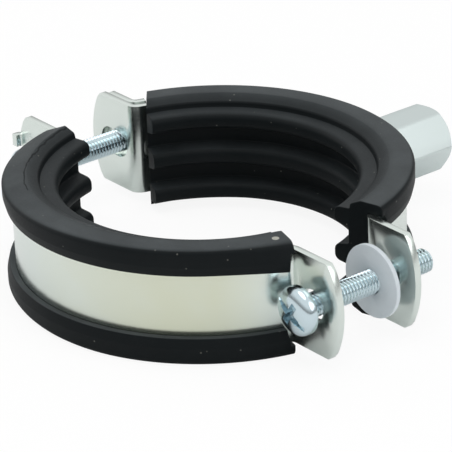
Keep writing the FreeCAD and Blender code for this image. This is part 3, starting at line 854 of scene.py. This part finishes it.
def extruded_rubber():
    """Extruded EPDM rubber: near black and matt, with faint lines along the profile and a greyer bloom in
    patches. Dust and a painted top light grey what faces up, less inside the ring as painted shade; a dark
    line of painted shade stands for a fine crack along the front left rim, and a pale chip and specks lie on
    top."""
    material, tree = new_material("extruded_epdm_rubber")
    place = add_node(tree, "ShaderNodeTexCoord")
    parts = add_node(tree, "ShaderNodeSeparateXYZ", inputs={0: place.outputs["Object"]})
    turn = add_node(tree, "ShaderNodeMath", {"operation": "ARCTAN2"}, {
        0: parts.outputs["Y"], 1: parts.outputs["X"]})
    level = add_node(tree, "ShaderNodeCombineXYZ", inputs={"X": parts.outputs["X"], "Y": parts.outputs["Y"]})
    radius = add_node(tree, "ShaderNodeVectorMath", {"operation": "LENGTH"}, {0: level.outputs[0]})
    along = add_node(tree, "ShaderNodeCombineXYZ", inputs={
        "X": turn.outputs[0], "Y": radius.outputs["Value"], "Z": parts.outputs["Z"]})
    line_scale = 1 / (EXTRUSION_LINE * MM)
    stretched = add_node(tree, "ShaderNodeMapping", inputs={
        "Vector": along.outputs[0], "Scale": (LINES_AROUND, line_scale, line_scale)})
    lines = add_node(tree, "ShaderNodeTexNoise", inputs={
        "Vector": stretched.outputs[0], "Scale": 1.0, "Detail": 3.0})
    bloom = add_node(tree, "ShaderNodeTexNoise", inputs={
        "Vector": place.outputs["Object"], "Scale": 1 / (BLOOM_SIZE * MM), "Detail": 5.0, "Roughness": 0.6})
    grain = add_node(tree, "ShaderNodeTexNoise", inputs={
        "Vector": place.outputs["Object"], "Scale": 1 / (RUBBER_GRAIN * MM), "Detail": 3.0})
    # Dark line of painted shade where a fine crack runs along the front left rim.
    groove_wave = add_node(tree, "ShaderNodeTexNoise", inputs={
        "Vector": place.outputs["Object"], "Scale": 1 / (GROOVE_WAVE_SIZE * MM), "Detail": 2.0})
    groove_path = add_node(tree, "ShaderNodeMapRange", {"interpolation_type": "SMOOTHSTEP"}, {
        "Value": turn.outputs[0], "From Min": math.radians(GROOVE_ANGLES[0]),
        "From Max": math.radians(GROOVE_ANGLES[1]), "To Min": GROOVE_RADII[0] * MM,
        "To Max": GROOVE_RADII[1] * MM})
    groove_path = add_node(tree, "ShaderNodeMath", {"operation": "MULTIPLY_ADD"}, {
        0: groove_wave.outputs[0], 1: GROOVE_WAVE_DEPTH * MM, 2: groove_path.outputs[0]})
    groove_shade = add_node(tree, "ShaderNodeMath", {"operation": "COMPARE"}, {
        0: radius.outputs["Value"], 1: groove_path.outputs[0], 2: GROOVE_WIDTH / 2 * MM})
    on_left = add_node(tree, "ShaderNodeMath", {"operation": "LESS_THAN"}, {
        0: turn.outputs[0], 1: math.radians(GROOVE_ANGLES[1])})
    on_top = add_node(tree, "ShaderNodeMath", {"operation": "GREATER_THAN"}, {
        0: parts.outputs["Z"], 1: GROOVE_HEIGHT * MM})
    groove_shade = add_node(tree, "ShaderNodeMath", {"operation": "MULTIPLY"}, {
        0: groove_shade.outputs[0], 1: on_left.outputs[0]})
    groove_shade = add_node(tree, "ShaderNodeMath", {"operation": "MULTIPLY"}, {
        0: groove_shade.outputs[0], 1: on_top.outputs[0]})
    bloom_share = add_node(tree, "ShaderNodeMapRange", inputs={
        "Value": bloom.outputs[0], "From Min": BLOOM_NOISE[0], "From Max": BLOOM_NOISE[1],
        "To Max": BLOOM_SHARE})
    colour = add_node(tree, "ShaderNodeMix", {"data_type": "RGBA"}, {
        0: bloom_share.outputs[0], 6: linear(RUBBER_BLACK), 7: linear(RUBBER_WORN)})
    specks = add_node(tree, "ShaderNodeTexVoronoi", inputs={
        "Vector": place.outputs["Object"], "Scale": 1 / (DUST_SPACING * MM)})
    speck_share = add_node(tree, "ShaderNodeMapRange", inputs={
        "Value": specks.outputs["Distance"], "From Min": SPECK_RADII[0], "From Max": SPECK_RADII[1],
        "To Max": SPECK_SHARE})
    # Mask of dust and painted top light on faces turned up, held down towards the inside of the ring as
    # painted shade.
    facing = add_node(tree, "ShaderNodeNewGeometry")
    facing = add_node(tree, "ShaderNodeSeparateXYZ", inputs={0: facing.outputs["Normal"]})
    settled = add_node(tree, "ShaderNodeMapRange", {"interpolation_type": "SMOOTHSTEP"}, {
        "Value": facing.outputs["Z"], "From Min": DUST_AND_TOP_LIGHT_SLOPE[0], "From Max": DUST_AND_TOP_LIGHT_SLOPE[1]})
    film = add_node(tree, "ShaderNodeMapRange", inputs={
        "Value": bloom.outputs[0], "From Min": FILM_NOISE[0], "From Max": FILM_NOISE[1],
        "To Min": FILM_FLOOR, "To Max": 1.0})
    settled = add_node(tree, "ShaderNodeMath", {"operation": "MULTIPLY"}, {
        0: settled.outputs[0], 1: film.outputs[0]})
    out_of_inner_shade = add_node(tree, "ShaderNodeMapRange", {"interpolation_type": "SMOOTHSTEP"}, {
        "Value": radius.outputs["Value"], "From Min": INNER_SHADE_RADII[0] * MM, "From Max": INNER_SHADE_RADII[1] * MM,
        "To Min": DUST_AND_TOP_LIGHT_INSIDE, "To Max": 1.0})
    settled = add_node(tree, "ShaderNodeMath", {"operation": "MULTIPLY"}, {
        0: settled.outputs[0], 1: out_of_inner_shade.outputs[0]})
    # Lays the grey of dust and painted top light over the rubber.
    colour = add_node(tree, "ShaderNodeMix", {"data_type": "RGBA"}, {
        0: settled.outputs[0], 6: colour.outputs[2], 7: linear(RUBBER_DUST_AND_TOP_LIGHT)})
    # Paints the crack's shade line back to the bare black.
    groove_shaded = add_node(tree, "ShaderNodeMix", {"data_type": "RGBA"}, {
        0: groove_shade.outputs[0], 6: colour.outputs[2], 7: linear(RUBBER_BLACK)})
    chip = add_node(tree, "ShaderNodeVectorMath", {"operation": "DISTANCE"}, {
        0: place.outputs["Object"], 1: [value * MM for value in CHIP_PLACE]})
    chip = add_node(tree, "ShaderNodeMath", {"operation": "LESS_THAN"}, {
        0: chip.outputs["Value"], 1: CHIP_RADIUS * MM})
    pale = add_node(tree, "ShaderNodeMath", {"operation": "MAXIMUM"}, {
        0: chip.outputs[0], 1: speck_share.outputs[0]})
    dusty = add_node(tree, "ShaderNodeMix", {"data_type": "RGBA"}, {
        0: pale.outputs[0], 6: groove_shaded.outputs[2], 7: linear(DUST_PALE)})
    roughness = add_node(tree, "ShaderNodeMapRange", inputs={
        "Value": grain.outputs[0], "To Min": RUBBER_ROUGHNESS[0], "To Max": RUBBER_ROUGHNESS[1]})
    height = add_node(tree, "ShaderNodeMath", {"operation": "MULTIPLY_ADD"}, {
        0: lines.outputs[0], 1: LINE_SHARE, 2: grain.outputs[0]})
    bump = add_node(tree, "ShaderNodeBump", inputs={
        "Height": height.outputs[0], "Strength": RUBBER_BUMP[0], "Distance": RUBBER_BUMP[1] * MM})
    surface = add_node(tree, "ShaderNodeBsdfPrincipled", inputs={
        "Base Color": dusty.outputs[2], "Roughness": roughness.outputs[0], "IOR": RUBBER_IOR,
        "Specular IOR Level": RUBBER_SPECULAR, "Normal": bump.outputs[0]})
    add_node(tree, "ShaderNodeOutputMaterial", inputs={"Surface": surface.outputs[0]})
    return material


rubber_finish = extruded_rubber()
lining_back = lining("back_lining")
cut_lips(lining_back, BACK_SLANT, 1)
cut_inner, cut_outer = [Vector((-r * math.cos(math.radians(a)), r * math.sin(math.radians(a))))
                        for r, a in CUT_BACK]
cut_far = cut_inner + (cut_outer - cut_inner) * 2
cut_height = RIM_TOP_HEIGHT + CUT_BACK_MARGIN
combine(lining_back, prism("cut_back", [tuple(cut_inner), tuple(cut_far), (cut_far.x, 0), (cut_inner.x, 0)],
                           -cut_height, cut_height, upright), "DIFFERENCE")
round_edges(lining_back, LINING_EDGE_ROUNDING)
dress(lining_back, rubber_finish, "back_half", "liner_back")
lining_front = lining("front_lining", RIM_SAG, LIP_BULGE)
cut_lips(lining_front, FRONT_SLANT, 1)
cut_lips(lining_front, FRONT_SLANT, -1)
mirror_to_front(lining_front)
round_edges(lining_front, LINING_EDGE_ROUNDING)
dress(lining_front, rubber_finish, "front_half", "liner_front")


# Screws
# M5 pan head machine screws, cold headed with a cross recess and a slot, thread rolled to 0.8 mm pitch
# and zinc-plated with a blue passivation.
SCREW_MINOR_RADIUS = 2.08
SCREW_MAJOR_RADIUS = 2.46
SCREW_PITCH = 0.8
HEAD_RADIUS = 5.0
HEAD_HEIGHT = 3.2
HEAD_FOOT = 0.15
DOME_DEPTH = 2.3
DOME_POWER = 0.8
DOME_STEPS = 20
HEAD_SEAT = -13.1
SCREW_TIP = 18.6
THREAD_RUNOUT = 0.4
THREAD_OVERLAP = 0.1
HEAD_EDGE_ROUNDING = 0.12
SLOT_SIZE = (2 * HEAD_RADIUS + 1, 1.0, 0.9)
CROSS_SIZE = (5.0, 1.5, 2.0)
RECESS_MARGIN = 1.0
RECESS_TURN = {"right": -33.5, "left": 20.0}
SCREW_ZINC = "#C6D6DC"
SCREW_ROUGHNESS = (0.13, 0.19)
SCREW_GRAIN = 0.5


def zinc_screw():
    """Blue-passivated zinc on a rolled screw: a cool, bright mirror with a slight satin."""
    material, tree = new_material("blue_zinc_screw")
    place = add_node(tree, "ShaderNodeTexCoord")
    grain = add_node(tree, "ShaderNodeTexNoise", inputs={
        "Vector": place.outputs["Object"], "Scale": 1 / (SCREW_GRAIN * MM), "Detail": 3.0})
    roughness = add_node(tree, "ShaderNodeMapRange", inputs={
        "Value": grain.outputs[0], "To Min": SCREW_ROUGHNESS[0], "To Max": SCREW_ROUGHNESS[1]})
    surface = add_node(tree, "ShaderNodeBsdfPrincipled", inputs={
        "Base Color": linear(SCREW_ZINC), "Metallic": 1.0, "Roughness": roughness.outputs[0]})
    add_node(tree, "ShaderNodeOutputMaterial", inputs={"Surface": surface.outputs[0]})
    return material


def pan_head(name, x, recess_turn):
    """Domed pan head with a slot and a cross recess turned about the screw's axis."""
    face = HEAD_SEAT - HEAD_HEIGHT
    profile = []
    for step in range(DOME_STEPS + 1):
        lean = math.pi / 2 * step / DOME_STEPS
        profile.append((HEAD_RADIUS * math.sin(lean) ** DOME_POWER,
                        face + DOME_DEPTH * (1 - math.cos(lean) ** DOME_POWER)))
    profile += [(HEAD_RADIUS, HEAD_SEAT - HEAD_FOOT), (HEAD_RADIUS - HEAD_FOOT, HEAD_SEAT), (0, HEAD_SEAT)]
    head = turned(name, profile, x)
    for (length, width, depth), quarter in ((SLOT_SIZE, 0), (CROSS_SIZE, 0), (CROSS_SIZE, 90)):
        turn = math.radians(recess_turn + quarter)

        def tilted(u, v, level):
            return x + u * math.cos(turn) - v * math.sin(turn), level, u * math.sin(turn) + v * math.cos(turn)

        outline = [(-length / 2, -width / 2), (length / 2, -width / 2), (length / 2, width / 2),
                   (-length / 2, width / 2)]
        combine(head, prism("recess", outline, face - RECESS_MARGIN, face + depth, tilted), "DIFFERENCE")
    round_edges(head, HEAD_EDGE_ROUNDING)
    return head


screw_finish = zinc_screw()
for side, x in (("right", SCREW_X), ("left", -SCREW_X)):
    head = pan_head(f"screw_head_{side}", x, RECESS_TURN[side])
    thread = thread_rod(f"screw_thread_{side}", SCREW_MINOR_RADIUS, SCREW_MAJOR_RADIUS, SCREW_PITCH,
                        HEAD_SEAT - THREAD_OVERLAP, SCREW_TIP, x, runout=THREAD_RUNOUT)
    shade(thread)
    dress(head, screw_finish, f"screw_{side}", f"screw_{side}")
    dress(thread, screw_finish, f"screw_{side}", f"screw_{side}")


# Retaining disc
# Thin disc of grey polyethylene, punched from sheet and pushed on the right screw's thread, which keeps
# the screw from dropping out while the clamp is open.
DISC_RADIUS = 7.5
DISC_FRONT = 4.3
DISC_BACK = 5.3
DISC_STEPS = 128
DISC_EDGE_ROUNDING = 0.15
HOLE_CUT_MARGIN = 1.0
DISC_GREY = "#D6DEE3"
DISC_DARKER = "#CCD4DA"
MOTTLE_SIZE = 2.5
DISC_ROUGHNESS = 0.45
DISC_IOR = 1.51
SCATTER_SHARE = 0.1
SCATTER_DEPTH = 1.0


def punched_polyethylene():
    """Grey polyethylene: dull and slightly translucent, with a faint mottle."""
    material, tree = new_material("punched_polyethylene")
    place = add_node(tree, "ShaderNodeTexCoord")
    mottle = add_node(tree, "ShaderNodeTexNoise", inputs={
        "Vector": place.outputs["Object"], "Scale": 1 / (MOTTLE_SIZE * MM), "Detail": 3.0})
    colour = add_node(tree, "ShaderNodeMix", {"data_type": "RGBA"}, {
        0: mottle.outputs[0], 6: linear(DISC_GREY), 7: linear(DISC_DARKER)})
    surface = add_node(tree, "ShaderNodeBsdfPrincipled", inputs={
        "Base Color": colour.outputs[2], "Roughness": DISC_ROUGHNESS, "IOR": DISC_IOR,
        "Subsurface Weight": SCATTER_SHARE, "Subsurface Radius": [SCATTER_DEPTH * MM] * 3})
    add_node(tree, "ShaderNodeOutputMaterial", inputs={"Surface": surface.outputs[0]})
    return material


disc = cylinder("disc_plate", DISC_RADIUS, DISC_FRONT, DISC_BACK, SCREW_X, DISC_STEPS)
combine(disc, cylinder("disc_hole", TAPPED_RADIUS, DISC_FRONT - HOLE_CUT_MARGIN, DISC_BACK + HOLE_CUT_MARGIN,
                       SCREW_X), "DIFFERENCE")
round_edges(disc, DISC_EDGE_ROUNDING)
dress(disc, punched_polyethylene(), "retaining_disc", "retaining_disc")
